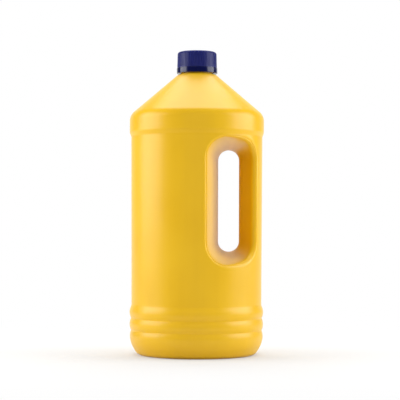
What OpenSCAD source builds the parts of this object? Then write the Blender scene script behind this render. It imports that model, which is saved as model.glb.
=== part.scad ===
// A two-litre drain cleaner bottle with a moulded side handle and a push-and-turn closure.
// Millimetres, +Z up. The origin is the centre of the standing ring, on the surface it stands on.
// The handle is on the +X side, and the two mould halves meet in the XZ plane.

/* [Body] */
// Diameter over the shoulder band, the widest part
body_d = 121.6; // [120:0.1:126]
// How far the base ribs' crests lie inside the band
rib_inset = 0.2; // [0.1:0.05:0.9]
// How far the plain panel lies inside the band where it leaves the ribs
panel_foot_inset = 1.95; // [1.6:0.05:2.4]
// How far the plain panel lies inside the band just under it
panel_top_inset = 1.4; // [0.9:0.05:1.6]
// Thickness of the blown wall
wall = 0.9; // [0.7:0.05:1.4]

/* [Foot and heel] */
// How far the standing ring's outer edge lies inside the shoulder band
foot_inset = 11.2; // [10.8:0.1:12.6]
// Width of the flat standing ring
foot_w = 8.5; // [5:0.5:12]
// Height of the push-up in the middle of the base
push_up = 5; // [3:0.5:8]
// Radius where the push-up levels out
push_up_r = 50; // [30:1:60]
// Radius between the standing ring and the push-up
foot_inner_r = 4; // [2:0.5:6]
// Radius between the standing ring and the heel
foot_edge_r = 6.3; // [4:0.1:7]
// Slope of the heel, measured from upright
heel_slope = 31; // [29:1:34]
// Radius between the heel and the lowest rib
heel_r = 19; // [12:0.1:20]

/* [Base ribs] */
// Number of ribs
rib_count = 3; // [2:1:4]
// Height of the lowest rib's crest
rib_low_z = 17.1; // [16.8:0.1:21]
// How far the lowest rib's crest lies inside the others
rib_low_inset = 0.35; // [0:0.05:0.5]
// Distance from one crest to the next
rib_pitch = 10.8; // [10.4:0.1:11.5]
// Slope of a rib's flank, measured from upright
rib_slope = 26.5; // [24:0.5:30]
// Radius over a crest
rib_crest_r = 10.4; // [7:0.1:10.6]
// Radius in a valley
rib_valley_r = 1.4; // [0.4:0.1:1.6]
// Slope of the top rib where it runs out into the panel, measured from upright
rib_end_slope = 21; // [18:0.5:28]
// Radius where the top rib runs out into the panel
rib_end_r = 3; // [1:0.1:4]

/* [Panel and shoulder] */
// Height of the plain panel, from the top rib's crest to the step up to the band
panel_h = 158.3; // [140:0.1:180]
// Height of the step between the panel and the band
step_h = 4.0; // [3.2:0.1:5]
// Height of the band, from the step to where it would meet the cone in a sharp corner
band_h = 15.5; // [12:0.1:22]
// Radius where the panel starts to step out
step_foot_r = 3; // [1.5:0.1:3.5]
// Radius where the step ends on the band
step_top_r = 2; // [1:0.1:2.6]
// Radius between band and cone
shoulder_r = 9.5; // [8:0.1:14]
// Slope of the cone, measured from level
cone_slope = 40.5; // [36:0.1:44]

/* [Handle] */
// Thickness of the grip, from the finger hole out to the panel
grip_t = 20.5; // [18:0.1:22]
// Width of the finger hole
hole_w = 18.9; // [18:0.1:21]
// Distance from the top rib's crest up to the finger hole's lower end
hole_foot_gap = 54.8; // [46:0.1:60]
// Distance from the finger hole's upper end up to the step
hole_top_gap = 11.6; // [10.5:0.1:20]
// Draft of the recess on the grip's side
grip_draft = 25; // [21:0.5:27]
// Draft of the recess on the body's side
body_draft = 10.7; // [8:0.1:14]
// Draft of the recess at its top
top_draft = 10; // [8:0.5:11]
// Draft of the recess at its bottom
bottom_draft = 12.6; // [9:0.1:16]
// Radius of the edge where the recess meets the body
handle_edge_r = 3.4; // [2.4:0.1:4]
// Width of the flat land that the mould halves leave round the finger hole
land_w = 1.6; // [1:0.1:3]

/* [Neck] */
// Diameter of the mouth
mouth_d = 21.6; // [19:0.1:24]
// Wall of the neck between the thread's turns
neck_wall = 1.8; // [1.4:0.1:2.2]
// How far the thread stands out from the neck
thread_reach = 0.95; // [0.8:0.05:1.1]
// How far the plain collar under the thread stands out from the neck
collar_reach = 1.7; // [1.2:0.1:1.9]
// Height of the plain collar
collar_h = 2.4; // [2:0.1:2.6]
// Width of the ledge round the collar
ledge_w = 3.15; // [2.2:0.05:3.5]
// Height of the neck above its ledge
neck_h = 15.4; // [14.5:0.1:17]
// Radius of the ledge's edge, and inside it where the cone turns up into the bore
ledge_r = 0.8; // [0.4:0.1:1]
// Radius of the mouth's outer edge, and of the collar's foot
lip_r = 0.5; // [0.2:0.1:0.8]
// Bevel at the mouth's inner edge
mouth_bevel = 0.3; // [0.1:0.1:0.5]

/* [Thread] */
// Rise of the thread in one turn
thread_pitch = 4.2; // [4:0.05:4.6]
// Turns of each thread
thread_turns = 1.25; // [1:0.05:1.3]
// Width of the neck's thread at its foot
neck_thread_w = 2.2; // [1.8:0.1:2.3]
// Width of the inner cap's thread at its foot
cap_thread_w = 1.8; // [1.4:0.1:1.9]
// Width of either thread along its crest
thread_crest_w = 0.9; // [0.6:0.1:1]
// Distance from the mouth down to the centre of the thread's last turn
thread_top = 2.9; // [2.6:0.1:3.2]

/* [Closure] */
// Thickness of the foam liner
liner_t = 1.0; // [0.8:0.1:1.6]
// Thickness of the inner cap's top
inner_top_t = 1.2; // [1:0.1:1.6]
// Wall of the inner cap's skirt
inner_wall = 1.4; // [1.2:0.05:1.5]
// Distance from the ledge up to the inner cap's lower edge
inner_rim_gap = 2.7; // [2.6:0.1:2.8]
// Thickness of the outer cap's top
outer_top_t = 1.4; // [1.2:0.1:2]
// Wall of the outer cap's skirt, over its ribs
outer_wall = 2.1; // [1.5:0.05:2.4]
// How far the outer cap's plain collar stands out from its ribs
outer_collar_reach = 0.4; // [0.2:0.05:0.6]
// Height of the outer cap's plain collar
outer_collar_h = 4.8; // [3.5:0.1:5.5]
// Distance from the ledge up to the outer cap's rim
outer_rim_gap = 1.3; // [1.2:0.1:1.7]
// Depth of the grooves between the outer cap's ribs
groove_depth = 0.35; // [0.2:0.05:0.5]
// Number of ribs round the outer cap
groove_count = 72; // [60:2:90]
// Radius of the outer cap's top edge
outer_edge_r = 2.3; // [1.5:0.1:3]
// How far the outer cap goes down when it is pressed
press_travel = 0.9; // [0.6:0.1:1]
// Number of driving lugs on each cap
lug_count = 8; // [6:1:10]
// Length of a driving lug, along the radius
lug_l = 4; // [3:0.5:5]
// Distance from the inner cap's side in to the driving lugs
lug_margin = 3.4; // [2.5:0.1:4]
// Reach of the bead that keeps the inner cap inside the outer one
bead_reach = 0.9; // [0.8:0.05:1]

/* [Clearances] */
// Between the neck's thread and the inner cap's bore
neck_play = 0.45; // [0.3:0.05:0.5]
// Between the inner cap's thread and the neck
crest_play = 0.3; // [0.2:0.05:0.4]
// Between the flanks of the two threads
flank_play = 0.15; // [0.1:0.05:0.3]
// Round the inner cap, inside the outer one
cap_play = 0.5; // [0.4:0.05:0.6]
// Round the liner, inside the inner cap
liner_play = 0.3; // [0.2:0.05:0.5]
// Above and below the driving lugs
lug_play = 0.1; // [0.05:0.05:0.2]
// Between the bead and the inner cap's lower edge
bead_play = 0.3; // [0.2:0.05:0.4]

/* [Hidden] */

yellow = "#f2c31c";
navy = "#1c2572";
natural = "#e9e6dc";
foam = "#f4f2ea";

// One step of a rounded corner, in degrees
arc_step = 9;
// Sides of a turned shape when it is drawn as a mesh
round_fn = 180;
// How far a cutting shape reaches past what it cuts
past = 1;
// How far the recess's edge ends above the skin, so that the two cross cleanly
edge_lift = 0.05;
// Radius of the small corners on the neck and the caps
soft_r = 0.2;
// How much the outer cap's side leans in over its height
cap_taper = 0.4;
// Height of the plain stretch at the top rib's crest
crest_flat = 0.1;

// Diameters that follow from the shoulder band's
rib_d = body_d - 2 * rib_inset;
rib_low_d = rib_d - 2 * rib_low_inset;
panel_foot_d = body_d - 2 * panel_foot_inset;
panel_top_d = body_d - 2 * panel_top_inset;
foot_d = body_d - 2 * foot_inset;

// Diameters that follow from the mouth's
neck_d = mouth_d + 2 * neck_wall;
thread_d = neck_d + 2 * thread_reach;
collar_d = neck_d + 2 * collar_reach;
ledge_d = collar_d + 2 * ledge_w;

// Heights
rib_top_z = rib_low_z + (rib_count - 1) * rib_pitch;
panel_top_z = rib_top_z + panel_h;
band_z = panel_top_z + step_h;
shoulder_z = band_z + band_h;
ledge_z = shoulder_z + (body_d - ledge_d) / 2 * tan(cone_slope);
mouth_z = ledge_z + neck_h;
lug_h = press_travel - lug_play;
liner_top_z = mouth_z + liner_t;
inner_top_z = liner_top_z + inner_top_t;
inner_rim_z = ledge_z + inner_rim_gap;
outer_roof_z = inner_top_z + 2 * lug_h + 2 * lug_play;
outer_top_z = outer_roof_z + outer_top_t;
outer_rim_z = ledge_z + outer_rim_gap;

// Radii
heel_foot_r = foot_d / 2 + foot_edge_r * tan((90 - heel_slope) / 2);
heel_top_z = (rib_low_d / 2 - heel_foot_r) / tan(heel_slope);
crest_r = min(rib_crest_r, rib_pitch / 2 / sin(rib_slope) - rib_valley_r);
rib_apex_r = rib_d / 2 + crest_r * (1 / cos(rib_slope) - 1);
rib_valley_radius = rib_apex_r - rib_pitch / 2 * tan(rib_slope);
inner_bore_r = thread_d / 2 + neck_play;
inner_r = inner_bore_r + inner_wall;
outer_bore_r = inner_r + cap_play;
outer_r = outer_bore_r + outer_wall;
outer_collar_r = outer_r + outer_collar_reach;
cap_thread_r = neck_d / 2 + crest_play;
liner_r = inner_bore_r - liner_play;
bead_r = outer_bore_r - bead_reach;

// Outlines are lists of [radius, height, corner radius], from the axis outwards and then upwards.
function edge(p, q) = let (d = [q[0] - p[0], q[1] - p[1]]) d / norm(d);
function left_of(d) = [-d[1], d[0]];
function turn_of(a, b) = a[0] * b[1] - a[1] * b[0];

// Moves an outline t to its left, and its corner radii with it.
function inset(path, t) = [
    for (i = [0 : len(path) - 1])
        let (
            last = len(path) - 1,
            a = i > 0 ? edge(path[i - 1], path[i]) : edge(path[0], path[1]),
            b = i < last ? edge(path[i], path[i + 1]) : a,
            n = (left_of(a) + left_of(b)) / (1 + a * b)
        )
        [path[i][0] + t * n[0], path[i][1] + t * n[1], max(0, path[i][2] - sign(turn_of(a, b)) * t)]
];

// The points of one corner at c, rounded to radius c[2].
function corner(p, c, q) =
    let (a = edge(p, c), b = edge(c, q), turn = acos(max(-1, min(1, a * b))))
    c[2] <= 0 || turn < 0.1 ? [[c[0], c[1]]] :
    let (
        side = sign(turn_of(a, b)),
        start = [c[0], c[1]] - a * c[2] * tan(turn / 2),
        arm = -side * c[2] * left_of(a),
        centre = start - arm,
        steps = ceil(turn / arc_step)
    )
    [for (k = [0 : steps]) let (w = side * turn * k / steps)
        centre + [arm[0] * cos(w) - arm[1] * sin(w), arm[0] * sin(w) + arm[1] * cos(w)]];

function rounded(path) = [
    for (i = [0 : len(path) - 1])
        each (i == 0 || i == len(path) - 1)
            ? [[path[i][0], path[i][1]]]
            : corner(path[i - 1], path[i], path[i + 1])
];

// The blown skin, from the middle of the base up to the shoulder's sharp corner.
rib_end_z = rib_top_z + crest_flat + crest_r * tan(rib_end_slope / 2);
panel_foot_z = rib_end_z + (rib_d - panel_foot_d) / 2 / tan(rib_end_slope);
skin_path = concat(
    [
        [0, push_up, 0],
        [(foot_d / 2 - foot_w) / 3, push_up, push_up_r],
        [foot_d / 2 - foot_w, 0, foot_inner_r],
        [heel_foot_r, 0, foot_edge_r],
        [rib_low_d / 2, heel_top_z, min(heel_r, (rib_low_z - heel_top_z) / tan(heel_slope / 2))],
        [rib_low_d / 2, rib_low_z + crest_r * tan(rib_slope / 2), crest_r],
        [rib_valley_radius, rib_low_z + rib_pitch / 2, rib_valley_r]
    ],
    [for (i = [2 : 1 : rib_count - 1]) each [
        [rib_apex_r, rib_low_z + (i - 1) * rib_pitch, crest_r],
        [rib_valley_radius, rib_low_z + (i - 0.5) * rib_pitch, rib_valley_r]
    ]],
    [
        [rib_d / 2, rib_top_z - crest_r * tan(rib_slope / 2), crest_r],
        [rib_d / 2, rib_end_z, crest_r],
        [panel_foot_d / 2, panel_foot_z, rib_end_r],
        [panel_top_d / 2, panel_top_z, step_foot_r],
        [body_d / 2, band_z, step_top_r],
        [body_d / 2, shoulder_z, shoulder_r]
    ]
);

// The neck's outside, from the ledge's edge up and over to the axis.
neck_path = [
    [ledge_d / 2, ledge_z, ledge_r],
    [collar_d / 2, ledge_z, lip_r],
    [collar_d / 2, ledge_z + collar_h, soft_r],
    [neck_d / 2, ledge_z + collar_h + (collar_d - neck_d) / 2, soft_r],
    [neck_d / 2, mouth_z, lip_r],
    [0, mouth_z, 0]
];

// The cone's inner face ends one wall under the ledge, where it turns in to the bore.
cavity_path = concat(
    inset(concat(skin_path, [[ledge_d / 2, ledge_z, 0]]), wall),
    [
        [mouth_d / 2, ledge_z - wall, ledge_r],
        [mouth_d / 2, mouth_z - mouth_bevel, 0],
        [mouth_d / 2 + mouth_bevel + past, mouth_z + past, 0],
        [0, mouth_z + past, 0]
    ]
);

// The finger hole is a slot with round ends, and its recess opens outwards at a draft that
// differs from side to side. An angle of 0 faces the grip, and 90 faces up.
hole_r = hole_w / 2;
hole_x = panel_foot_d / 2 - grip_t - hole_r;
hole_low_z = rib_top_z + hole_foot_gap;
hole_high_z = panel_top_z - hole_top_gap;
end_steps = 16;
edge_steps = 5;

function draft_tan(a) =
    pow(cos(a), 2) * tan(cos(a) > 0 ? grip_draft : body_draft)
    + pow(sin(a), 2) * tan(sin(a) > 0 ? top_draft : bottom_draft);

function panel_r(z) =
    panel_foot_d / 2 + (panel_top_d - panel_foot_d) / 2 * (z - panel_foot_z) / (panel_top_z - panel_foot_z);

// Half the body's depth at x and z, for a skin that lies g inside the outer one.
function skin_y(x, z, g) = sqrt(max(0.01, pow(panel_r(z) + edge_lift - g, 2) - x * x));

// The recess's section at slot angle a and distance o from the slot is found in the plane of o and y.
// Centre of the edge's arc when it touches the skin at distance o: [o, y, direction of the contact].
function arc_centre(px, pz, a, o, g, r) =
    let (
        x = px + o * cos(a),
        z = pz + o * sin(a),
        h = 0.01,
        rise = skin_y(x + h * cos(a), z + h * sin(a), g) - skin_y(x - h * cos(a), z - h * sin(a), g),
        up = atan2(2 * h, -rise)
    )
    [o - r * cos(up), skin_y(x, z, g) - r * sin(up), up];

// Halves the span between lo and hi until the arc also touches the drafted wall.
function touching(px, pz, a, g, r, lo, hi, n) =
    let (
        mid = (lo + hi) / 2,
        c = arc_centre(px, pz, a, mid, g, r),
        d = atan(draft_tan(a)),
        from_wall = c[0] * cos(d) - (c[1] - land_w / 2) * sin(d)
    )
    n == 0 ? c :
    from_wall < r ? touching(px, pz, a, g, r, mid, hi, n - 1) : touching(px, pz, a, g, r, lo, mid, n - 1);

// The recess's points along one slot angle, from the land out past the skin: [x, y, z].
function recess_rib(half, a, g) =
    let (
        px = hole_x + (hole_r + g) * cos(a),
        pz = (half == 0 ? hole_high_z - hole_r : hole_low_z + hole_r) + (hole_r + g) * sin(a),
        r = handle_edge_r - g,
        reach = cos(a) > 0.1 ? min(30, (panel_r(pz) - g - 1 - px) / cos(a)) : 30,
        c = touching(px, pz, a, g, r, 0, reach, 30),
        d = atan(draft_tan(a)),
        arc = [for (k = [0 : edge_steps]) let (w = 180 - d + (c[2] - 180 + d) * k / edge_steps)
            [c[0] + r * cos(w), c[1] + r * sin(w)]],
        out = concat([[0, land_w / 2]], arc, [[arc[edge_steps][0], panel_r(pz) + 6]])
    )
    [for (p = out) [px + p[0] * cos(a), p[1], pz + p[0] * sin(a)]];

// The solid that fills the finger hole and its recess on both sides, g larger all round.
module recess(g) {
    ribs = [for (half = [0, 1]) for (k = [0 : end_steps]) recess_rib(half, 180 * half + 180 * k / end_steps, g)];
    n = len(ribs);
    m = len(ribs[0]);
    rings = concat(
        [for (j = [m - 1 : -1 : 0]) [for (rib = ribs) [rib[j][0], -rib[j][1], rib[j][2]]]],
        [for (j = [0 : m - 1]) [for (rib = ribs) rib[j]]]
    );
    polyhedron(
        points = [for (ring = rings) each ring],
        faces = concat(
            [[for (i = [n - 1 : -1 : 0]) i]],
            [for (j = [0 : 2 * m - 2]) for (i = [0 : n - 1])
                let (a = j * n + i, b = j * n + (i + 1) % n)
                each [[a, b, a + n], [b, b + n, a + n]]],
            [[for (i = [0 : n - 1]) (2 * m - 1) * n + i]]
        )
    );
}

// A thread: a ridge that winds upwards from z, from base_r to crest_r, fading at both ends.
module thread(base_r, crest_r, foot_w, z) {
    step = 10;
    fade = 40;
    sink = 0.3 * sign(crest_r - base_r);
    span = 360 * thread_turns;
    n = round(span / step);
    sections = [for (k = [0 : n])
        let (
            a = span * k / n,
            part = min(1, a / fade, (span - a) / fade),
            crest = base_r - sink / 2 + (crest_r - base_r + sink / 2) * part,
            mid = z + thread_pitch * a / 360
        )
        [for (p = [
            [base_r - sink, -foot_w / 2],
            [crest, -thread_crest_w / 2],
            [crest, thread_crest_w / 2],
            [base_r - sink, foot_w / 2]
        ]) [p[0] * cos(a), p[0] * sin(a), mid + p[1]]]];
    walls = [for (k = [0 : n - 1]) for (i = [0 : 3])
        let (a = 4 * k + i, b = 4 * k + (i + 1) % 4)
        each [[a, b, a + 4], [b, b + 4, a + 4]]];
    faces = concat([[3, 2, 1, 0]], walls, [[4 * n, 4 * n + 1, 4 * n + 2, 4 * n + 3]]);
    inward = crest_r < base_r;
    polyhedron(
        points = [for (s = sections) each s],
        faces = inward ? [for (f = faces) [for (i = [len(f) - 1 : -1 : 0]) f[i]]] : faces
    );
}

// How far the cap's thread lies under the neck's, so that their flanks clear each other.
function ridge_half(r, base_r, crest_r, foot_w) =
    foot_w / 2 + (thread_crest_w - foot_w) / 2 * (r - base_r) / (crest_r - base_r);
function pair_half(r) =
    ridge_half(r, neck_d / 2, thread_d / 2, neck_thread_w)
    + ridge_half(r, inner_bore_r, cap_thread_r, cap_thread_w);
thread_drop = max(pair_half(cap_thread_r), pair_half(thread_d / 2)) + flank_play;
thread_z = mouth_z - thread_top - thread_pitch * thread_turns;

// A ring of lugs from height low to height high, each over two fifths of its share of the turn.
lug_out_r = inner_r - lug_margin;
lug_root = 0.2;
module lugs(low, high, shift) {
    share = 360 / lug_count;
    for (i = [0 : lug_count - 1])
        rotate([0, 0, share * (i + shift) - share / 5])
            rotate_extrude(angle = share * 2 / 5, $fn = round_fn)
                translate([lug_out_r - lug_l, low])
                    square([lug_l, high - low]);
}

// The blown bottle: one wall round one chamber, with the hollow grip open to it at both ends.
module bottle() {
    color(yellow)
    difference() {
        union() {
            difference() {
                rotate_extrude($fn = round_fn)
                    polygon(rounded(concat(skin_path, neck_path)));
                recess(0);
            }
            thread(neck_d / 2, thread_d / 2, neck_thread_w, thread_z);
        }
        difference() {
            rotate_extrude($fn = round_fn)
                polygon(rounded(cavity_path));
            recess(wall);
        }
    }
}

// The foam disc that seals the mouth.
module cap_liner() {
    color(foam)
    translate([0, 0, mouth_z])
        cylinder(r = liner_r, h = liner_t, $fn = round_fn);
}

// The threaded cap that grips the neck.
module inner_cap() {
    color(natural)
    union() {
        rotate_extrude($fn = round_fn)
            polygon(rounded([
                [0, liner_top_z, 0],
                [inner_bore_r, liner_top_z, soft_r],
                [inner_bore_r, inner_rim_z, soft_r],
                [inner_r, inner_rim_z, 2 * soft_r],
                [inner_r, inner_top_z, 3 * soft_r],
                [0, inner_top_z, 0]
            ]));
        thread(inner_bore_r, cap_thread_r, cap_thread_w, thread_z - thread_drop);
        lugs(inner_top_z - lug_root, inner_top_z + lug_h, 0);
    }
}

// The outline of the grooved outer cap seen from above.
module grooved_outline() {
    share = 360 / groove_count;
    tip = outer_r;
    root = tip - groove_depth;
    polygon([for (i = [0 : groove_count - 1]) each [
        for (p = [[0, tip], [0.5, tip], [0.65, root], [0.85, root]])
            let (a = share * (i + p[0])) p[1] * [cos(a), sin(a)]
    ]]);
}

// The outer shell that the hand turns. It drives the inner cap only while it is pressed down.
module outer_cap() {
    groove_z = outer_rim_z + outer_collar_h;
    color(navy)
    difference() {
        union() {
            intersection() {
                translate([0, 0, groove_z - past])
                    linear_extrude(height = outer_top_z - groove_z + 2 * past)
                        grooved_outline();
                rotate_extrude($fn = round_fn)
                    polygon(rounded([
                        [0, groove_z - past, 0],
                        [outer_r, groove_z - past, 0],
                        [outer_r - cap_taper, outer_top_z, outer_edge_r],
                        [0, outer_top_z, 0]
                    ]));
            }
            rotate_extrude($fn = round_fn)
                polygon(rounded([
                    [0, outer_rim_z, 0],
                    [outer_collar_r, outer_rim_z, 2 * soft_r],
                    [outer_collar_r, groove_z, 1.5 * soft_r],
                    [0, groove_z, 0]
                ]));
        }
        difference() {
            rotate_extrude($fn = round_fn)
                polygon(rounded([
                    [0, outer_rim_z - past, 0],
                    [bead_r, outer_rim_z - past, 0],
                    [bead_r, inner_rim_z - bead_play - soft_r, soft_r],
                    [outer_bore_r, inner_rim_z - bead_play, 0],
                    [outer_bore_r, outer_roof_z, 1],
                    [0, outer_roof_z, 0]
                ]));
            lugs(outer_roof_z - lug_h, outer_roof_z + lug_root, 0.5);
        }
    }
}

bottle();
cap_liner();
inner_cap();
outer_cap();
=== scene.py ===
# %% [markdown]
# # A drain cleaner bottle
# The real object is a two-litre bottle, blown from yellow polyethylene, with a grip moulded into its side and a navy
# blue push-and-turn cap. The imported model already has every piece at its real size. This lesson gives the bottle and
# its caps the smooth skins and the finishes that a studio photograph shows.

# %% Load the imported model
import math
import bmesh
import bpy
from mathutils import Matrix, Vector


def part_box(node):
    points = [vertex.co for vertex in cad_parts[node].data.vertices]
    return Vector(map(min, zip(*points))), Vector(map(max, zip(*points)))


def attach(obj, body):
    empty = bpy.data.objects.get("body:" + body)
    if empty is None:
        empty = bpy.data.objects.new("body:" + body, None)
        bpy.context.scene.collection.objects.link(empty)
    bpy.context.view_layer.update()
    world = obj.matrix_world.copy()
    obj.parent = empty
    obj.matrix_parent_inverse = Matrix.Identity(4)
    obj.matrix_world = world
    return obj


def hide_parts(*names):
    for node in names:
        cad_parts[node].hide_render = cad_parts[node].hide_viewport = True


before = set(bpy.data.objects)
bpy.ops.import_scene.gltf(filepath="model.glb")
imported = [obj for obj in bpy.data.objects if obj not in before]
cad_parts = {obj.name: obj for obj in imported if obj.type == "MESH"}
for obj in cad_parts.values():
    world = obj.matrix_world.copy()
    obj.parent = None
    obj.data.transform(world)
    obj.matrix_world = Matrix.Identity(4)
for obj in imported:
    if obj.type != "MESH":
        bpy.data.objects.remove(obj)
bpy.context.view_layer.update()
print("packed nodes:", sorted(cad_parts))

# %% [markdown]
# Everything is sized in millimetres, because that is how a bottle maker draws it, and turned into metres only when a
# mesh is finished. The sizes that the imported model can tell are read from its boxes.

# %% Sizes of the bottle
MM = 0.001


def box_mm(node):
    """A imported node's lowest and highest corner, in millimetres."""
    low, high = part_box(node)
    return low / MM, high / MM


bottle_low, bottle_high = box_mm("bottle")
body_r = bottle_high.x
mouth_z = bottle_high.z
rib_r, rib_low_r, panel_foot_r, panel_top_r = 60.6, 60.25, 58.85, 59.4
wall = 0.9
foot_r, foot_w, push_up, foot_edge_r = 49.6, 8.5, 5.0, 6.3
heel_slope, heel_r = math.radians(31), 19.0
rib_count, rib_low_z, rib_pitch = 3, 17.1, 10.8
rib_slope, rib_crest_r, rib_valley_r = math.radians(26.5), 10.4, 1.4
rib_end_slope, rib_end_r = math.radians(21), 3.0
panel_top_z, step_h, shoulder_z, shoulder_r = 197.0, 4.0, 216.5, 9.5
cone_slope = math.radians(40.5)
ledge_r, collar_r, collar_h, neck_r, bore_r = 17.45, 14.3, 2.4, 12.6, 10.8
ledge_z = shoulder_z + (body_r - ledge_r) * math.tan(cone_slope)
print(f"body radius {body_r:.2f} mm, ledge at {ledge_z:.2f} mm, mouth at {mouth_z:.2f} mm")

# %% Sizes of the handle
grip_t, hole_r, hole_h, hole_z = 20.5, 9.45, 91.9, 139.45
hole_x = panel_foot_r - grip_t - hole_r
hole_half = hole_h / 2 - hole_r
grip_draft, body_draft, top_draft, bottom_draft = (math.tan(math.radians(a)) for a in (25, 10.7, 10, 12.6))
handle_edge_r, land_half = 3.4, 0.8
print(f"finger hole centred {hole_x:.2f} mm from the axis")

# %% [markdown]
# ## The bottle's outline
# A blown bottle is a turned shape apart from its handle, so its skin is one outline spun round the axis. The outline
# is drawn as a wire with sharp corners, and each corner is bevelled to its own radius. A bevel with a profile of 0.5
# on a wire's corner is a true arc, so the radii here are those of the real mould.

# %% Corners of the outline
rib_apex_r = rib_r + rib_crest_r * (1 / math.cos(rib_slope) - 1)
valley_r = rib_apex_r - rib_pitch / 2 * math.tan(rib_slope)
heel_foot_r = foot_r + foot_edge_r * math.tan((math.pi / 2 - heel_slope) / 2)
heel_top_z = (rib_low_r - heel_foot_r) / math.tan(heel_slope)
rib_top_z = rib_low_z + (rib_count - 1) * rib_pitch
rib_end_z = rib_top_z + 0.1 + rib_crest_r * math.tan(rib_end_slope / 2)
panel_foot_z = rib_end_z + (rib_r - panel_foot_r) / math.tan(rib_end_slope)
window_low, window_high = 74.0, 196.0


def panel_r(z):
    """Radius of the plain panel, which widens a little towards the shoulder."""
    return panel_foot_r + (panel_top_r - panel_foot_r) * (z - panel_foot_z) / (panel_top_z - panel_foot_z)


skin_corners = [(0, push_up, 0), ((foot_r - foot_w) / 3, push_up, 50), (foot_r - foot_w, 0, 4),
                (heel_foot_r, 0, foot_edge_r), (rib_low_r, heel_top_z, heel_r),
                (rib_low_r, rib_low_z + rib_crest_r * math.tan(rib_slope / 2), rib_crest_r)]
for i in range(1, rib_count):
    skin_corners.append((valley_r, rib_low_z + (i - 0.5) * rib_pitch, rib_valley_r))
    skin_corners.append((rib_apex_r, rib_low_z + i * rib_pitch, rib_crest_r))
skin_corners[-1] = (rib_r, rib_top_z - rib_crest_r * math.tan(rib_slope / 2), rib_crest_r)
skin_corners += [(rib_r, rib_end_z, rib_crest_r), (panel_foot_r, panel_foot_z, rib_end_r),
                 (panel_r(window_low), window_low, 0), (panel_r(window_high), window_high, 0),
                 (panel_top_r, panel_top_z, 3), (body_r, panel_top_z + step_h, 2),
                 (body_r, shoulder_z, shoulder_r)]
neck_corners = [(ledge_r, ledge_z, 0.8), (collar_r, ledge_z, 0.5), (collar_r, ledge_z + collar_h, 0.2),
                (neck_r, ledge_z + collar_h + collar_r - neck_r, 0.2), (neck_r, mouth_z, 0.5)]
print(len(skin_corners) + len(neck_corners), "corners outside")

# %% [markdown]
# The inside of the wall is the same outline moved in by the wall's thickness. At each corner both neighbouring edges
# move, so the corner itself moves along the line that halves them, and its radius shrinks or grows by as much.

# %% The inner wall's corners


def inset(corners, t):
    """Moves an outline t to its left, and its corner radii with it."""
    moved = []
    for i, (r, z, fillet) in enumerate(corners):
        here = Vector((r, z))
        before = (here - Vector(corners[i - 1][:2])).normalized() if i else None
        after = (Vector(corners[i + 1][:2]) - here).normalized() if i + 1 < len(corners) else before
        before = before or after
        shift = (Vector((-before.y, before.x)) + Vector((-after.y, after.x))) / (1 + before.dot(after))
        turn = before.x * after.y - before.y * after.x
        bend = (turn > 1e-6) - (turn < -1e-6)
        moved.append((r + t * shift.x, z + t * shift.y, max(0, fillet - bend * t) if fillet else 0))
    return moved


inner_corners = inset(skin_corners + neck_corners[:1], wall)
mouth_bevel = 0.3
bore_corners = [(bore_r + mouth_bevel, mouth_z, 0), (bore_r, mouth_z - mouth_bevel, 0), (bore_r, ledge_z - wall, 0.8)]
outline_corners = skin_corners + neck_corners + bore_corners + inner_corners[::-1]
print(len(outline_corners), "corners in all")

# %% Draw and round the outline
ARC_STEP = math.radians(7)


def draw_outline(bm, corners):
    """Adds a wire of (radius, height, corner radius) in the XZ plane, with its corners bevelled round."""
    verts = [bm.verts.new((r, 0, z)) for r, z, fillet in corners]
    for a, b in zip(verts, verts[1:]):
        bm.edges.new((a, b))
    for i, (r, z, fillet) in enumerate(corners[1:-1], start=1):
        here = Vector((r, z))
        turn = (here - Vector(corners[i - 1][:2])).angle(Vector(corners[i + 1][:2]) - here)
        if fillet and turn > 0.01:
            bmesh.ops.bevel(bm, geom=[verts[i]], offset=fillet * math.tan(turn / 2), offset_type="OFFSET",
                            affect="VERTICES", segments=max(2, math.ceil(turn / ARC_STEP)), profile=0.5, material=-1)


bm = bmesh.new()
draw_outline(bm, outline_corners)
print(len(bm.verts), "points on the rounded outline")

# %% [markdown]
# ## The skin
# The real mould has two halves that meet in the plane of the handle. The mesh is made the same way: half a turn of
# the outline, worked on alone and then mirrored. The panel beside the handle is cut into rows first, so that a window
# for the handle's recess can be opened along the mesh's own edges.

# %% Spin half a turn
HALF_STEPS, WINDOW_ROWS = 72, 30
# The panel's long straight edge, outside and then inside, is cut into the window's rows.
for inside in (0, wall):
    row = [e for e in bm.edges if all(abs(v.co.x + inside - panel_r(v.co.z)) < 0.2 for v in e.verts)
           and all(window_low - 1 < v.co.z < window_high + 1 for v in e.verts)
           and e.calc_length() > 50]
    bmesh.ops.subdivide_edges(bm, edges=row, cuts=WINDOW_ROWS - 1)
bmesh.ops.spin(bm, geom=bm.verts[:] + bm.edges[:], cent=(0, 0, 0), axis=(0, 0, -1), angle=math.pi,
               steps=HALF_STEPS, use_merge=False)
bmesh.ops.remove_doubles(bm, verts=bm.verts, dist=0.001)
print(len(bm.faces), "faces in half the bottle")

# %% [markdown]
# ## The handle's recess
# Round the finger gap the wall dips in from both sides until it meets in the middle. Each mould half must pull
# straight out, so the recess widens outwards: steeply beside the grip, where the hand needs room, and gently beside
# the body. Its edge rolls over into the skin with a radius of about 3 mm, which the photograph shows as a bright line.
# The section at any place round the gap lies in a plane, so it is worked out there: a straight drafted wall, and an
# arc that touches both the wall and the skin.

# %% Section of the recess
EDGE_STEPS, WALL_STEPS = 8, 6
FARTHEST_OUT, HALVINGS = 30.0, 40


def draft_at(a):
    """Tangent of the draft at angle a round the gap: 0 faces the grip and a quarter turn faces up."""
    side = grip_draft if math.cos(a) > 0 else body_draft
    end = top_draft if math.sin(a) > 0 else bottom_draft
    return math.cos(a) ** 2 * side + math.sin(a) ** 2 * end


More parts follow.
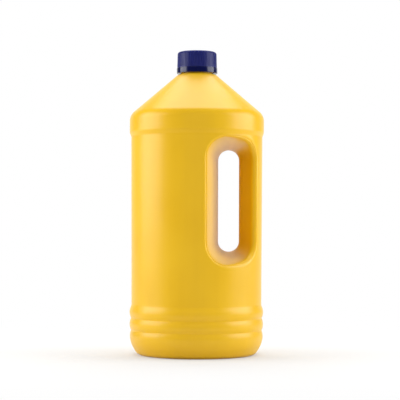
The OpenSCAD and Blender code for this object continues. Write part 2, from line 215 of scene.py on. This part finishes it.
def arc_centre(foot, a, out, inside, r):
    """Centre of the edge's arc where it touches the skin at distance out, and the direction of that contact."""
    def depth(o):
        x, z = foot.x + o * math.cos(a), foot.y + o * math.sin(a)
        return math.sqrt(max(0.01, (panel_r(z) - inside) ** 2 - x * x))
    up = math.atan2(0.02, depth(out - 0.01) - depth(out + 0.01))
    return Vector((out - r * math.cos(up), depth(out) - r * math.sin(up))), up


def recess_section(foot, a, inside):
    """Points of (distance from the gap, distance from the parting plane), from the land out to the skin."""
    draft = math.atan(draft_at(a))
    r = handle_edge_r - inside
    low, high = 0.0, FARTHEST_OUT
    if math.cos(a) > 0.1:
        high = min(high, (panel_r(foot.y) - inside - 1 - foot.x) / math.cos(a))
    for _ in range(HALVINGS):
        middle = (low + high) / 2
        centre, up = arc_centre(foot, a, middle, inside, r)
        from_wall = centre.x * math.cos(draft) - (centre.y - land_half) * math.sin(draft)
        low, high = (middle, high) if from_wall < r else (low, middle)
    start = math.pi - draft
    arc = [centre + r * Vector((math.cos(w), math.sin(w)))
           for w in (start + (up - start) * k / EDGE_STEPS for k in range(EDGE_STEPS + 1))]
    ramp = [Vector((0, land_half)).lerp(arc[0], k / WALL_STEPS) for k in range(WALL_STEPS)]
    return [Vector((0, 0))] + ramp + arc


sample = recess_section(Vector((hole_x + hole_r, hole_z)), 0, 0)
print(f"on the grip's side the recess reaches {hole_x + hole_r + sample[-1].x:.1f} mm out, {sample[-1].y:.1f} mm deep")

# %% [markdown]
# The gap itself is a slot with round ends. Its ring starts as one point, which is spun half a turn for each end and
# joined up along the sides. From there the ring is extruded again and again, and each copy is moved to the next point
# of the section. It has as many edges as the window's rim, so that the two can be bridged.

# %% Open a window in the skin
SIDE_ANGLE = math.pi / HALF_STEPS
FIRST_SIDE, LAST_SIDE = 6, 37


def in_window(face, inside):
    """Is this face part of the panel's skin beside the recess?"""
    c = face.calc_center_median()
    azimuth = math.atan2(-c.y, c.x)
    on_skin = abs(math.hypot(c.x, c.y) - panel_r(c.z) + inside) < 0.3
    return on_skin and window_low < c.z < window_high and FIRST_SIDE * SIDE_ANGLE < azimuth < LAST_SIDE * SIDE_ANGLE


def rim_of(faces):
    """The edges between a set of faces and the rest of the mesh."""
    return [e for e in {e for f in faces for e in f.edges} if sum(f in faces for f in e.link_faces) == 1]


def slot_ring(bm, inside, columns):
    """The finger gap's ring in the parting plane, with a given number of edges round each end."""
    for z, side in ((hole_z + hole_half, 1), (hole_z - hole_half, -1)):
        start = bm.verts.new((hole_x + side * (hole_r + inside), 0, z))
        bmesh.ops.spin(bm, geom=[start], cent=(hole_x, 0, z), axis=(0, -1, 0), angle=math.pi,
                       steps=columns, use_merge=False)
    ends = [v for v in bm.verts if len(v.link_edges) == 1]
    sides = [bm.edges.new([v for v in ends if side * (v.co.x - hole_x) > 0]) for side in (1, -1)]
    bmesh.ops.subdivide_edges(bm, edges=sides, cuts=WINDOW_ROWS - 1)
    return [e for e in bm.edges if e.is_wire]


def slot_place(co, inside):
    """Where a point of the gap's ring lies: its place in the parting plane and its angle round the gap."""
    centre_z = min(max(co.z, hole_z - hole_half), hole_z + hole_half)
    return Vector((co.x, co.z)), math.atan2(co.z - centre_z, co.x - hole_x)


# %% Sink the recess and join it to the skin


def sink_recess(bm, inside):
    """Cuts the window, extrudes the gap's ring out to the skin and bridges the two."""
    window = [f for f in bm.faces if in_window(f, inside)]
    rim = rim_of(set(window))
    bmesh.ops.delete(bm, geom=window, context="FACES_KEEP_BOUNDARY")
    ring = slot_ring(bm, inside, len(rim) // 2 - WINDOW_ROWS)
    places = {}
    for v in {v for e in ring for v in e.verts}:
        foot, a = slot_place(v.co, inside)
        places[v] = (foot, a, recess_section(foot, a, inside))
    for step in range(1, WALL_STEPS + EDGE_STEPS + 2):
        made = bmesh.ops.extrude_edge_only(bm, edges=ring)["geom"]
        fresh = {v for v in made if isinstance(v, bmesh.types.BMVert)}
        moved = {}
        for v in fresh:
            old = next(e.other_vert(v) for e in v.link_edges if e.other_vert(v) in places)
            foot, a, section = moved[v] = places[old]
            out, deep = section[step]
            v.co = (foot.x + out * math.cos(a), -deep, foot.y + out * math.sin(a))
        ring = [e for e in made if isinstance(e, bmesh.types.BMEdge) and all(v in fresh for v in e.verts)]
        places = moved
    bridge = bmesh.ops.bridge_loops(bm, edges=ring + rim)
    rungs = [e for e in bridge["edges"] if e not in ring and e not in rim]
    cut = bmesh.ops.subdivide_edges(bm, edges=rungs, cuts=4, use_grid_fill=True)
    for v in (v for v in cut["geom_inner"] if isinstance(v, bmesh.types.BMVert)):
        r = panel_r(v.co.z) - inside
        v.co.xy = v.co.xy.normalized() * r
    return len(ring)


for inside in (0, wall):
    print("ring of", sink_recess(bm, inside), "edges, bridged", inside, "mm inside the skin")

# %% [markdown]
# ## Close the bottle
# Mirroring across the parting plane gives the second mould half and welds the two along the parting line. The mesh
# is then one closed wall with the chamber inside it, and its normals are worked out afresh, because a mirror turns
# its copy inside out.

# %% Mirror and finish


def finish_mesh(bm, name, body, node=None, smooth=35):
    """Turns a bmesh in millimetres into a piece in metres that rides on a body and may stand for a node."""
    bmesh.ops.remove_doubles(bm, verts=bm.verts, dist=0.001)
    bmesh.ops.recalc_face_normals(bm, faces=bm.faces)
    bmesh.ops.scale(bm, vec=(MM, MM, MM), verts=bm.verts)
    mesh = bpy.data.meshes.new(name)
    bm.to_mesh(mesh)
    open_edges = sum(e.is_boundary for e in bm.edges)
    loose = sum(not e.is_manifold for e in bm.edges)
    bm.free()
    piece = bpy.data.objects.new(name, mesh)
    bpy.context.scene.collection.objects.link(piece)
    mesh.polygons.foreach_set("use_smooth", [True] * len(mesh.polygons))
    mesh.set_sharp_from_angle(angle=math.radians(smooth))
    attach(piece, body)
    if node:
        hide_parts(node)
    print(f"{name}: {len(mesh.polygons)} faces, {open_edges} open edges, {loose} odd edges")
    return piece


bmesh.ops.mirror(bm, geom=bm.verts[:] + bm.edges[:] + bm.faces[:], merge_dist=0.001, axis="Y")
bottle_skin = finish_mesh(bm, "bottle_skin", "bottle", "bottle")

# %% [markdown]
# ## The neck's thread
# A thread is a small profile that climbs as it turns, which a spin with a rise at each step makes. On the real neck
# the ridge fades out at both ends, so that the cap starts easily, so the crest sinks back into the neck there. It is a
# piece of its own, because it is sunk into the neck a little instead of being cut into its skin.

# %% Wind the thread
thread_reach, thread_pitch, thread_turns = 0.95, 4.2, 1.25
thread_foot_w, thread_crest_w, thread_top = 2.2, 0.9, 2.9
THREAD_STEPS, FADE = 60, math.radians(40)
thread_z = mouth_z - thread_top - thread_pitch * thread_turns
sunk = 0.3
bm = bmesh.new()
profile = [(neck_r - sunk, -thread_foot_w / 2), (neck_r + thread_reach, -thread_crest_w / 2),
           (neck_r + thread_reach, thread_crest_w / 2), (neck_r - sunk, thread_foot_w / 2)]
ring = [bm.verts.new((r, 0, thread_z + z)) for r, z in profile]
loop = [bm.edges.new((ring[i], ring[(i + 1) % 4])) for i in range(4)]
span = 2 * math.pi * thread_turns
bmesh.ops.spin(bm, geom=ring + loop, cent=(0, 0, 0), axis=(0, 0, 1), angle=span, steps=THREAD_STEPS,
               dvec=(0, 0, thread_pitch * thread_turns / THREAD_STEPS), use_merge=False)
bmesh.ops.holes_fill(bm, edges=[e for e in bm.edges if e.is_boundary], sides=4)
for v in bm.verts:
    climbed = 2 * math.pi * (v.co.z - thread_z) / thread_pitch
    azimuth = math.atan2(v.co.y, v.co.x)
    turned = azimuth + 2 * math.pi * round((climbed - azimuth) / (2 * math.pi))
    share = max(0, min(1, turned / FADE, (span - turned) / FADE))
    if v.co.xy.length > neck_r:
        v.co.xy = v.co.xy.normalized() * (neck_r - sunk / 2 + (thread_reach + sunk / 2) * share)
neck_thread = finish_mesh(bm, "neck_thread", "bottle")

# %% [markdown]
# ## The pinch-off
# Where the mould halves bite the hot tube shut, a blown bottle keeps a low weld ridge across its base. It lies in the
# hollow of the base, along the parting line, and shows only from below. A narrow grid is bent to the base's shape, and
# its middle rows hang a little lower.

# %% Lay the pinch-off ridge
ridge_l, ridge_w, ridge_h = 62.0, 2.4, 0.7
ridge_root, ridge_end_l = 0.15, 4
flat_r = (foot_r - foot_w) / 3
bm = bmesh.new()
bmesh.ops.create_grid(bm, x_segments=60, y_segments=8, size=0.5)
bmesh.ops.scale(bm, vec=(ridge_l, ridge_w, 1), verts=bm.verts)
for v in bm.verts:
    base_z = push_up * min(1, (foot_r - foot_w - abs(v.co.x)) / (foot_r - foot_w - flat_r))
    end = min(1, (ridge_l / 2 - abs(v.co.x)) / ridge_end_l)
    v.co.z = base_z + ridge_root - (ridge_h + ridge_root) * end * math.cos(math.pi * v.co.y / ridge_w)
bmesh.ops.solidify(bm, geom=bm.faces[:], thickness=-0.1)
pinch_off = finish_mesh(bm, "pinch_off", "bottle")

# %% [markdown]
# ## The outer cap
# The shell that the hand turns is moulded in one piece: a glossy plain collar, and above it a skirt with fine upright
# ribs. Its outline is drawn and rounded as the bottle's was, and spun a full turn with six steps to each rib. Every
# fifth and sixth column is then pressed in, which leaves the ribs standing.

# %% Outline of the outer cap
cap_low, cap_high = box_mm("outer_cap")
inner_low, inner_high = box_mm("inner_cap")
rim_z, top_z, cap_collar_r = cap_low.z, cap_high.z, cap_high.x
skirt_r, cap_bore_r, bead_r = cap_collar_r - 0.4, 15.9, 15.0
groove_z, roof_z, bead_z = rim_z + 4.8, top_z - 1.4, inner_low.z - 0.3
dish_r, dish_depth = 11.5, 0.35
cap_corners = [(0, top_z - dish_depth, 0), (dish_r, top_z - dish_depth, 0.5), (dish_r + 0.5, top_z, 0.4),
               (skirt_r - 0.4, top_z, 2.3), (skirt_r, groove_z + 0.9, 0), (skirt_r, groove_z + 0.5, 0),
               (skirt_r, groove_z, 0.15), (cap_collar_r, groove_z, 0.3), (cap_collar_r, rim_z, 0.4),
               (bead_r, rim_z, 0.3), (bead_r, bead_z - 0.2, 0.2), (cap_bore_r, bead_z, 0),
               (cap_bore_r, roof_z, 1), (0, roof_z, 0)]
print(f"outer cap {2 * cap_collar_r:.1f} mm across and {top_z - rim_z:.1f} mm tall")

# %% Spin the cap and press its grooves in
RIBS, STEPS_PER_RIB, CREST_STEPS = 72, 6, 4
groove_depth, groove_reach, groove_fade = 0.35, 1.9, 1.3
bm = bmesh.new()
draw_outline(bm, cap_corners)
bmesh.ops.spin(bm, geom=bm.verts[:] + bm.edges[:], cent=(0, 0, 0), axis=(0, 0, 1), angle=2 * math.pi,
               steps=RIBS * STEPS_PER_RIB, use_merge=True)
bmesh.ops.remove_doubles(bm, verts=bm.verts, dist=0.0005)
for v in bm.verts:
    column = round(math.atan2(v.co.y, v.co.x) / (2 * math.pi) * RIBS * STEPS_PER_RIB) % STEPS_PER_RIB
    on_skirt = v.co.z > groove_z + 0.7 and v.co.xy.length > skirt_r - groove_reach
    if on_skirt and column >= CREST_STEPS:
        r = v.co.xy.length
        fade = min(1, max(0, (r - skirt_r + groove_reach) / groove_fade))
        v.co.xy *= (r - groove_depth * fade) / r

# %% [markdown]
# Under its roof the shell carries eight lugs. They meet those of the inner cap only while the shell is pressed down,
# which is what keeps children out. They are plain blocks with their roots in the roof.

# %% Add the lugs and finish the cap
LUGS, LUG_SHARE = 8, 0.4
lug_h, lug_l, lug_out_r = 0.8, 4.0, 12.0
lug_w = (lug_out_r - lug_l / 2) * 2 * math.pi / LUGS * LUG_SHARE
for i in range(LUGS):
    turn = Matrix.Rotation(2 * math.pi * (i + 0.5) / LUGS, 4, "Z")
    seat = turn @ Matrix.Translation((lug_out_r - lug_l / 2, 0, roof_z - lug_h / 2 + 0.1))
    bmesh.ops.create_cube(bm, size=1, matrix=seat @ Matrix.Diagonal((lug_l, lug_w, lug_h + 0.2, 1)))
cap_shell = finish_mesh(bm, "cap_shell", "outer_cap", "outer_cap", smooth=30)

# %% [markdown]
# ## Materials
# Each finish is built from what the plastic is and how it was formed. One small function adds a node with its
# settings, values and links, and one turns the written sRGB colours into linear ones.

# %% Two helpers for materials


def linear(hex_colour):
    """An sRGB colour such as "#f2c31c" as the linear red, green, blue and alpha that Blender works in."""
    parts = [int(hex_colour[i : i + 2], 16) / 255 for i in (1, 3, 5)]
    return [c / 12.92 if c <= 0.04045 else ((c + 0.055) / 1.055) ** 2.4 for c in parts] + [1]


def add(tree, kind, settings=(), values=(), links=()):
    """Adds a node, sets its own settings and its sockets' values, and links outputs into its sockets."""
    made = tree.nodes.new(kind)
    for key, value in dict(settings).items():
        setattr(made, key, value)
    for key, value in dict(values).items():
        made.inputs[key].default_value = value
    for key, socket in dict(links).items():
        tree.links.new(socket, made.inputs[key])
    return made


def new_material(name):
    """An empty node material, with its tree, its object coordinates and its output."""
    material = bpy.data.materials.new(name)
    material.use_nodes = True
    tree = material.node_tree
    tree.nodes.clear()
    place = add(tree, "ShaderNodeTexCoord").outputs["Object"]
    return material, tree, place, add(tree, "ShaderNodeOutputMaterial")


# %% [markdown]
# ### Blow-moulded polyethylene
# High-density polyethylene with yellow pigment. The mould is sand-blasted, so that air can leave it, and its grain
# makes the skin satin: highlights are wide, soft and a little dull, which a lower specular level gives. The pigment is
# even, with the faintest upright streaks where the melt was drawn down, and a slow waviness where the wall's
# thickness changes. A fine ridge marks the parting plane. Real grain is about 0.1 mm, too fine to show here, so it is
# drawn at 0.7 mm.

# %% Yellow polyethylene
yellow, tree, place, output = new_material("blow_moulded_polyethylene_yellow")
drawn = add(tree, "ShaderNodeMapping", values={"Scale": (1, 1, 0.04)}, links={"Vector": place})
streaks = add(tree, "ShaderNodeTexNoise", values={"Scale": 1 / 0.006, "Detail": 3, "Roughness": 0.5},
              links={"Vector": drawn.outputs["Vector"]})
cloud = add(tree, "ShaderNodeTexNoise", values={"Scale": 1 / 0.045, "Detail": 2, "Roughness": 0.5},
            links={"Vector": place})
blend = add(tree, "ShaderNodeMath", {"operation": "MULTIPLY_ADD"}, {1: 0.4},
            {0: streaks.outputs["Fac"], 2: cloud.outputs["Fac"]})
pigment = add(tree, "ShaderNodeMapRange", values={"From Min": 0.45, "From Max": 0.95},
              links={"Value": blend.outputs["Value"]})
colour = add(tree, "ShaderNodeMix", {"data_type": "RGBA"},
             {6: linear("#e4b208"), 7: linear("#eab90a")}, {0: pigment.outputs["Result"]})
grain = add(tree, "ShaderNodeTexNoise", values={"Scale": 1 / 0.0007, "Detail": 2, "Roughness": 0.6},
            links={"Vector": place})
satin = add(tree, "ShaderNodeMapRange", values={"From Min": 0.3, "From Max": 0.7, "To Min": 0.3, "To Max": 0.36},
            links={"Value": cloud.outputs["Fac"]})
split = add(tree, "ShaderNodeSeparateXYZ", links={"Vector": place})
from_parting = add(tree, "ShaderNodeMath", {"operation": "ABSOLUTE"}, links={0: split.outputs["Y"]})
parting = add(tree, "ShaderNodeMapRange", {"interpolation_type": "SMOOTHSTEP"},
              {"From Min": 0, "From Max": 0.0005, "To Min": 1, "To Max": 0}, {"Value": from_parting.outputs["Value"]})
fine = add(tree, "ShaderNodeBump", values={"Strength": 0.25, "Distance": 0.00006},
           links={"Height": grain.outputs["Fac"]})
wavy = add(tree, "ShaderNodeBump", values={"Strength": 0.35, "Distance": 0.0006},
           links={"Height": cloud.outputs["Fac"], "Normal": fine.outputs["Normal"]})
seam = add(tree, "ShaderNodeBump", values={"Strength": 0.5, "Distance": 0.0002},
           links={"Height": parting.outputs["Result"], "Normal": wavy.outputs["Normal"]})
skin = add(tree, "ShaderNodeBsdfPrincipled", values={"IOR": 1.54, "Specular IOR Level": 0.4},
           links={"Base Color": colour.outputs[2], "Roughness": satin.outputs["Result"],
                  "Normal": seam.outputs["Normal"]})
tree.links.new(skin.outputs["BSDF"], output.inputs["Surface"])
for piece in (bottle_skin, neck_thread, pinch_off):
    piece.data.materials.append(yellow)
print(yellow.name, len(tree.nodes), "nodes")

# %% [markdown]
# ### Injection-moulded polypropylene
# The cap is solid navy polypropylene. Its collar comes from polished steel and is glossy, while the ribbed skirt and
# the top come from an eroded mould and are satin, which scatters more light and so looks paler. The collar's colour is
# also painted darker than the skirt's, as painted shade for the dim room that its gloss mirrors, though both share one
# pigment. The pigment swirls faintly where the melt flowed from the gate in the middle of the top.

# %% Navy polypropylene
navy, tree, place, output = new_material("injection_moulded_polypropylene_navy")
flow = add(tree, "ShaderNodeTexNoise", values={"Scale": 1 / 0.006, "Detail": 3, "Distortion": 1.2},
           links={"Vector": place})
swirled = add(tree, "ShaderNodeMix", {"data_type": "RGBA"},
              {6: linear("#041061"), 7: linear("#081772")}, {0: flow.outputs["Fac"]})
split = add(tree, "ShaderNodeSeparateXYZ", links={"Vector": place})
satin_skirt_and_dark_collar = add(tree, "ShaderNodeMapRange",
               values={"From Min": groove_z * MM, "From Max": (groove_z + 0.5) * MM},
               links={"Value": split.outputs["Z"]})
satin = add(tree, "ShaderNodeMapRange", values={"To Min": 0.11, "To Max": 0.38},
            links={"Value": satin_skirt_and_dark_collar.outputs["Result"]})
# The collar's darker colour is painted shade for its dark gloss; the collar and the skirt share one pigment.
colour = add(tree, "ShaderNodeMix", {"data_type": "RGBA"}, {6: linear("#020942")},
             {0: satin_skirt_and_dark_collar.outputs["Result"], 7: swirled.outputs[2]})
eroded = add(tree, "ShaderNodeTexNoise", values={"Scale": 1 / 0.0006, "Detail": 2}, links={"Vector": place})
worn = add(tree, "ShaderNodeMath", {"operation": "MULTIPLY_ADD"}, {1: 0.08},
           {0: eroded.outputs["Fac"], 2: satin.outputs["Result"]})
bump = add(tree, "ShaderNodeBump", values={"Strength": 0.2, "Distance": 0.00004},
           links={"Height": eroded.outputs["Fac"]})
skin = add(tree, "ShaderNodeBsdfPrincipled", values={"IOR": 1.49},
           links={"Base Color": colour.outputs[2], "Roughness": worn.outputs["Value"],
                  "Normal": bump.outputs["Normal"]})
tree.links.new(skin.outputs["BSDF"], output.inputs["Surface"])
cap_shell.data.materials.append(navy)
print(navy.name, len(tree.nodes), "nodes")

# %% [markdown]
# ### The parts under the shell
# The inner cap is polypropylene without pigment, which is milky and lets a little light in. The liner is a disc of
# foamed polyethylene, cut from sheet, with small cells that show as shallow pits.

# %% Natural polypropylene
natural, tree, place, output = new_material("injection_moulded_polypropylene_natural")
flow = add(tree, "ShaderNodeTexNoise", values={"Scale": 1 / 0.005, "Detail": 3, "Distortion": 0.8},
           links={"Vector": place})
colour = add(tree, "ShaderNodeMix", {"data_type": "RGBA"},
             {6: linear("#dedccf"), 7: linear("#eceadf")}, {0: flow.outputs["Fac"]})
satin = add(tree, "ShaderNodeMapRange", values={"To Min": 0.24, "To Max": 0.36}, links={"Value": flow.outputs["Fac"]})
bump = add(tree, "ShaderNodeBump", values={"Strength": 0.15, "Distance": 0.00008},
           links={"Height": flow.outputs["Fac"]})
skin = add(tree, "ShaderNodeBsdfPrincipled",
           values={"IOR": 1.49, "Subsurface Weight": 0.3, "Subsurface Radius": (0.0012, 0.0011, 0.001),
                   "Subsurface Scale": 1},
           links={"Base Color": colour.outputs[2], "Roughness": satin.outputs["Result"],
                  "Normal": bump.outputs["Normal"]})
tree.links.new(skin.outputs["BSDF"], output.inputs["Surface"])

# %% White foam
foam, tree, place, output = new_material("foamed_polyethylene_white")
cells = add(tree, "ShaderNodeTexVoronoi", values={"Scale": 1 / 0.0006}, links={"Vector": place})
# Each cell's colour is painted darker towards its middle, where its pit is deepest: painted shade in the pits.
colour = add(tree, "ShaderNodeMix", {"data_type": "RGBA"},
             {6: linear("#e6e3d8"), 7: linear("#f6f4ec")}, {0: cells.outputs["Distance"]})
bump = add(tree, "ShaderNodeBump", values={"Strength": 0.5, "Distance": 0.0001},
           links={"Height": cells.outputs["Distance"]})
skin = add(tree, "ShaderNodeBsdfPrincipled", values={"IOR": 1.5, "Roughness": 0.8},
           links={"Base Color": colour.outputs[2], "Normal": bump.outputs["Normal"]})
tree.links.new(skin.outputs["BSDF"], output.inputs["Surface"])

for node, material in (("inner_cap", natural), ("cap_liner", foam)):
    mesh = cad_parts[node].data
    mesh.materials.clear()
    mesh.materials.append(material)
    print(node, "wears", material.name)

# %% [markdown]
# ## The studio
# The bottle stands on a white sweep in a dim room. The sweep's white is mixed from its own lit surface, which keeps
# the shadow under the bottle, and a plain glow that takes over further out, so that the floor has no far edge. A real
# sweep ends before the dark room begins, so what the bottle mirrors from the front grows dark.

# %% White floor
FLOOR_HALF = 4
floor_bm = bmesh.new()
bmesh.ops.create_grid(floor_bm, x_segments=1, y_segments=1, size=FLOOR_HALF)
floor_mesh = bpy.data.meshes.new("floor")
floor_bm.to_mesh(floor_mesh)
floor_bm.free()
floor = bpy.data.objects.new("floor", floor_mesh)
bpy.context.scene.collection.objects.link(floor)
print(f"floor {2 * FLOOR_HALF} m across")

# %% The sweep's paper and glow
LIT_PAPER, DARK_END = (0.7, 0.7, 0.7, 1), (0.06, 0.06, 0.06, 1)
sweep, tree, place, output = new_material("white_sweep")
away = add(tree, "ShaderNodeVectorMath", {"operation": "LENGTH"}, links={0: place})
glow_share = add(tree, "ShaderNodeMapRange", {"interpolation_type": "SMOOTHSTEP"},
                 {"From Min": 0.1, "From Max": 0.5, "To Min": 0.3, "To Max": 1}, {"Value": away.outputs["Value"]})
split = add(tree, "ShaderNodeSeparateXYZ", links={"Vector": place})
behind = add(tree, "ShaderNodeMapRange", values={"From Max": 0.4}, links={"Value": split.outputs["Y"]})
ray = add(tree, "ShaderNodeLightPath")
mirrored = add(tree, "ShaderNodeMath", {"operation": "MULTIPLY"},
               links={0: ray.outputs["Is Glossy Ray"], 1: behind.outputs["Result"]})
direct = add(tree, "ShaderNodeMath", {"operation": "MAXIMUM"},
             links={0: ray.outputs["Is Camera Ray"], 1: mirrored.outputs["Value"]})
seen = add(tree, "ShaderNodeMath", {"operation": "MAXIMUM"},
           links={0: direct.outputs["Value"], 1: ray.outputs["Is Transmission Ray"]})
share = add(tree, "ShaderNodeMath", {"operation": "MULTIPLY"},
            links={0: seen.outputs["Value"], 1: glow_share.outputs["Result"]})
front = add(tree, "ShaderNodeMapRange", values={"From Min": -0.15, "From Max": -0.4},
            links={"Value": split.outputs["Y"]})
unlit = add(tree, "ShaderNodeMath", {"operation": "MULTIPLY"},
            links={0: ray.outputs["Is Glossy Ray"], 1: front.outputs["Result"]})
tone = add(tree, "ShaderNodeMix", {"data_type": "RGBA"},
           {6: LIT_PAPER, 7: DARK_END}, {0: unlit.outputs["Value"]})
paper = add(tree, "ShaderNodeBsdfDiffuse", links={"Color": tone.outputs[2]})
glow = add(tree, "ShaderNodeEmission", values={"Color": (1, 1, 1, 1), "Strength": 1})
mixed = add(tree, "ShaderNodeMixShader", links={0: share.outputs["Value"], 1: paper.outputs["BSDF"],
                                               2: glow.outputs["Emission"]})
tree.links.new(mixed.outputs["Shader"], output.inputs["Surface"])
floor.data.materials.append(sweep)
print(sweep.name, len(tree.nodes), "nodes")

# %% [markdown]
# Behind the sweep hangs a white backdrop, which the camera sees as plain white. The rest of the room is dim: glossy
# surfaces mirror it nearly black, and everything else gets a soft, even light from it.

# %% White backdrop and dim room
world = bpy.data.worlds.new("studio")
bpy.context.scene.world = world
world.use_nodes = True
tree = world.node_tree
tree.nodes.clear()
toward = add(tree, "ShaderNodeSeparateXYZ", links={"Vector": add(tree, "ShaderNodeTexCoord").outputs["Generated"]})
backdrop = add(tree, "ShaderNodeMapRange", {"interpolation_type": "SMOOTHSTEP"},
               {"From Min": 0.65, "From Max": 0.95, "To Min": 0.08, "To Max": 1}, {"Value": toward.outputs["Y"]})
ray = add(tree, "ShaderNodeLightPath")
shiny = add(tree, "ShaderNodeMath", {"operation": "MAXIMUM"},
            links={0: ray.outputs["Is Glossy Ray"], 1: ray.outputs["Is Transmission Ray"]})
lit = add(tree, "ShaderNodeMix", {"data_type": "FLOAT"}, {2: 0.5},
          {0: shiny.outputs["Value"], 3: backdrop.outputs["Result"]})
level = add(tree, "ShaderNodeMath", {"operation": "MAXIMUM"},
            links={0: lit.outputs[0], 1: ray.outputs["Is Camera Ray"]})
sky = add(tree, "ShaderNodeBackground", values={"Color": (1, 1, 1, 1)}, links={"Strength": level.outputs["Value"]})
tree.links.new(sky.outputs["Background"], add(tree, "ShaderNodeOutputWorld").inputs["Surface"])
print(world.name, len(tree.nodes), "nodes")

# %% [markdown]
# Two upright softboxes at the sides and a wide one overhead give a round glossy thing bright flanks, a bright cone and
# a calm, darker middle. A wide fill over the camera lifts the front without being mirrored in it.

# %% Softboxes


def softbox(name, place, target, size, radiance):
    """A rectangular lamp that faces a point. A lamp's power is its radiance times its area and pi."""
    lamp = bpy.data.lights.new(name, "AREA")
    lamp.shape, lamp.size, lamp.size_y = "RECTANGLE", size[0], size[1]
    lamp.energy = radiance * math.pi * size[0] * size[1]
    holder = bpy.data.objects.new(name, lamp)
    holder.location = place
    holder.rotation_euler = (Vector(target) - Vector(place)).to_track_quat("-Z", "Y").to_euler()
    bpy.context.scene.collection.objects.link(holder)
    print(f"{name}: {lamp.energy:.1f} W")
    return holder


softbox("left_box", (-0.8, -0.07, 0.40), (0, 0, 0.2), (0.7, 0.6), 3.9)
softbox("right_box", (0.8, -0.07, 0.40), (0, 0, 0.2), (0.7, 0.6), 3.9)
softbox("top_box", (0, 0.3, 1.15), (0, 0, 0.2), (1.0, 0.9), 3.3)
fill = softbox("front_fill", (0, -1.7, 0.7), (0, 0, 0.14), (1.4, 1.0), 0.9)
fill.visible_glossy = False

# %% [markdown]
# ## The camera
# A long lens at the height of the bottle's middle, looking level, as in a catalogue. The frame is shifted up a little
# so that the upright edges stay upright.

# %% Camera and finish
camera_data = bpy.data.cameras.new("camera")
camera_data.lens, camera_data.sensor_width = 125.1, 36
camera_data.shift_y = 0.09
camera = bpy.data.objects.new("camera", camera_data)
camera.location = (0.0031, -1.262, 0.1076)
camera.rotation_euler = (math.radians(90), math.radians(-0.17), 0)
bpy.context.scene.collection.objects.link(camera)
bpy.context.scene.camera = camera
bpy.context.scene.view_settings.view_transform = "Standard"
